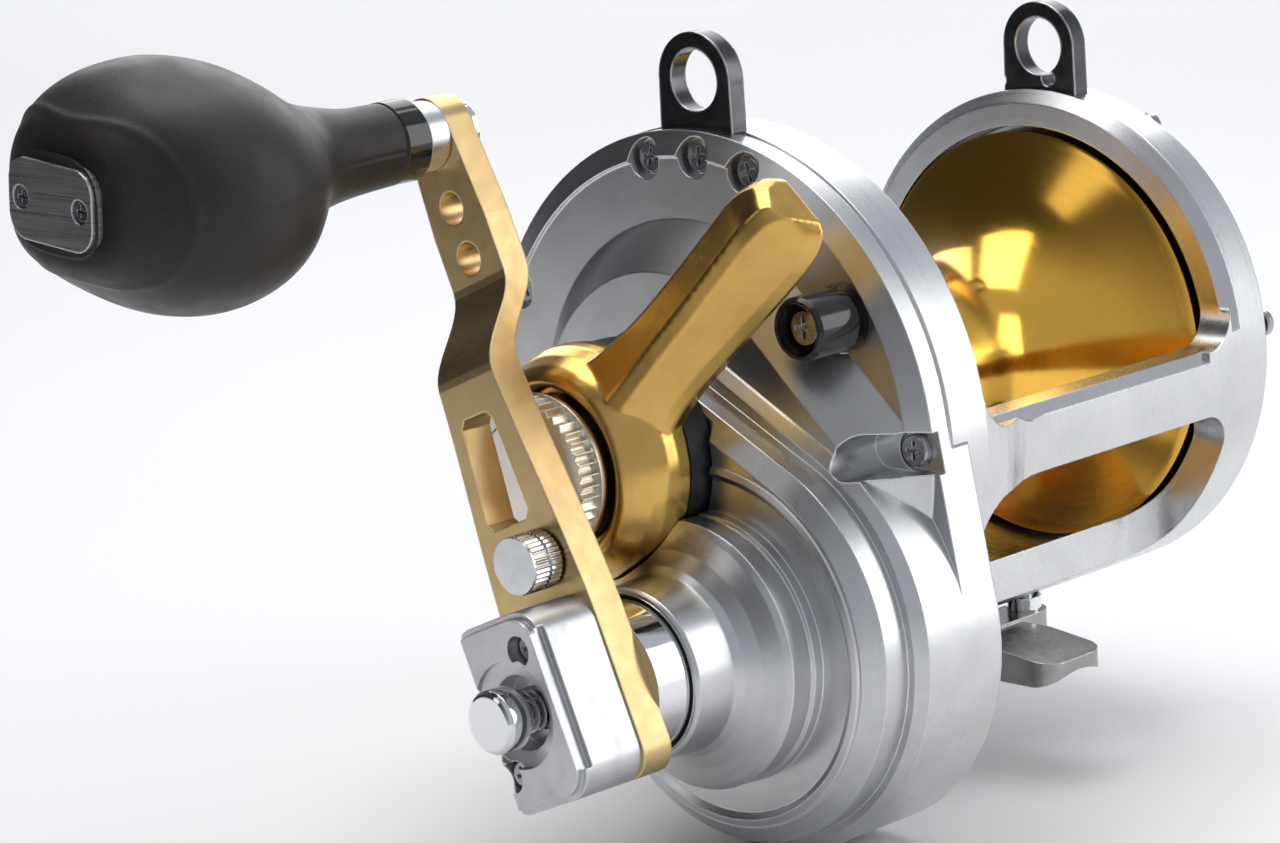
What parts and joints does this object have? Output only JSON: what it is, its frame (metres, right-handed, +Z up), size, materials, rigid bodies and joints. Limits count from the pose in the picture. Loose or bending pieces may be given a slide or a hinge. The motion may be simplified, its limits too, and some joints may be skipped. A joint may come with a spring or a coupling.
{
  "type": "trolling reel",
  "caption": "Two-speed lever-drag trolling reel with open-top frame, turning spool, cranked handle with egg-shaped knob, drag lever, harness lugs and rod foot.",
  "frame": {"origin": "crest of the foot's saddle, in the middle of the foot, where the reel sits on the rod", "axes": "+X along the spool axis towards the handle, +Y towards the rod tip, +Z up from the rod"},
  "size_m": [0.1948, 0.0918, 0.1225],
  "materials": {
    "satin_silver": "satin silver anodised, turned and blasted",
    "blasted_silver": "bead-blasted silver anodised",
    "dark_chrome": "black chrome",
    "chrome": "mirror chrome",
    "nickel": "warm nickel, ribbed",
    "satin_nickel": "brushed nickel",
    "knurled_steel": "knurled bright steel",
    "cast_silver": "polished casting",
    "steel": "ground steel",
    "gear_brass": "machined brass",
    "bright_gold": "mirror gold anodised",
    "satin_gold": "satin gold anodised",
    "champagne_gold": "blasted champagne gold anodised",
    "grip_rubber": "soft-touch charcoal rubber",
    "black_rubber": "seal rubber",
    "black_plastic": "black",
    "gloss_black": "gloss black"
  },
  "bodies": {
    "reel_body": {"frame": "satin_silver", "left_plate": "satin_silver", "bearing_plate": "satin_silver", "side_cover": "satin_silver", "cover_screws": "dark_chrome", "left_screws": "dark_chrome", "left_lug": "dark_chrome", "right_lug": "dark_chrome", "reel_foot": "cast_silver", "foot_spacers": "chrome", "foot_screws": "steel", "boss_seal": "black_rubber", "drive_bearings": "steel", "shaft_bearings": "steel", "spool_shaft": "steel", "fixed_cam": "steel", "drag_spring": "steel", "pawl_pin": "steel"},
    "crank": {"drive_shaft": "steel", "high_main_gear": "gear_brass", "ratchet_wheel": "steel", "shaft_collar": "chrome", "handle_arm": "champagne_gold", "clutch_block": "blasted_silver", "block_screws": "dark_chrome", "knob_axle": "steel", "axle_nut": "chrome", "knob_collar": "steel", "shift_spring": "steel"},
    "spool": {"spool": "bright_gold", "spool_bearings": "steel", "drag_disc": "steel", "drag_washer": "black_plastic", "clicker_gear": "gear_brass", "high_pinion": "steel", "low_pinion": "steel"},
    "low_gear": {"low_main_gear": "gear_brass"},
    "drag_lever": {"drag_lever": "satin_gold", "lever_liner": "black_plastic", "moving_cam": "steel"},
    "preset_knob": {"preset_knob": "nickel", "preset_cap": "nickel"},
    "strike_button": {"strike_button": "gloss_black", "strike_button_screw": "dark_chrome"},
    "shift_button": {"shift_button": "chrome"},
    "release_knob": {"release_knob": "knurled_steel"},
    "grip": {"grip_knob": "grip_rubber", "knob_ring": "gloss_black", "knob_end_plate": "satin_nickel", "end_plate_screws": "dark_chrome", "knob_bearings": "steel"},
    "clicker": {"clicker_button": "gloss_black", "clicker_tongue": "steel"},
    "pawl": {"anti_reverse_pawl": "steel"}
  },
  "joints": [
    {"name": "crank_turn", "type": "hinge", "parent": "reel_body", "child": "crank", "pos_m": [0.06, 0.0165, 0.0156], "axis": [1, 0, 0], "continuous": true},
    {"name": "spool_turn", "type": "hinge", "parent": "reel_body", "child": "spool", "pos_m": [0, 0, 0.0416], "axis": [1, 0, 0], "continuous": true},
    {"name": "low_gear_turn", "type": "hinge", "parent": "reel_body", "child": "low_gear", "pos_m": [0.043, 0.0165, 0.0156], "axis": [1, 0, 0], "continuous": true},
    {"name": "drag_lever_swing", "type": "hinge", "parent": "reel_body", "child": "drag_lever", "pos_m": [0.068, 0, 0.0416], "axis": [-1, 0, 0], "range_deg": [-100, 16]},
    {"name": "preset_knob_turn", "type": "hinge", "parent": "drag_lever", "child": "preset_knob", "pos_m": [0.075, 0, 0.0416], "axis": [1, 0, 0], "range_deg": [-180, 180]},
    {"name": "strike_button_press", "type": "slide", "parent": "reel_body", "child": "strike_button", "axis": [-1, 0, 0], "range_m": [0, 0.0022], "stiffness_N_per_m": 400, "springref_m": -0.001},
    {"name": "shift_button_press", "type": "slide", "parent": "crank", "child": "shift_button", "axis": [-1, 0, 0], "range_m": [0, 0.0018], "stiffness_N_per_m": 500, "springref_m": -0.001, "deforming": ["shift_spring"]},
    {"name": "release_knob_pull", "type": "slide", "parent": "crank", "child": "release_knob", "axis": [1, 0, 0], "range_m": [0, 0.002], "stiffness_N_per_m": 400, "springref_m": -0.001},
    {"name": "grip_spin", "type": "hinge", "parent": "crank", "child": "grip", "pos_m": [0.11, -0.01427, 0.0888], "axis": [1, 0, 0], "continuous": true},
    {"name": "clicker_slide", "type": "slide", "parent": "reel_body", "child": "clicker", "axis": [0, 0, 1], "range_m": [0, 0.0013]},
    {"name": "pawl_swing", "type": "hinge", "parent": "reel_body", "child": "pawl", "pos_m": [0.052, 0.0265, 0.0311], "axis": [-1, 0, 0], "range_deg": [0, 12], "stiffness_Nm_per_rad": 0.01, "springref_deg": -22.92}
  ],
  "couplings": [
    {"joint": "spool_turn", "follows": "crank_turn", "ratio": -5.2},
    {"joint": "low_gear_turn", "follows": "crank_turn", "ratio": 2.3636}
  ]
}
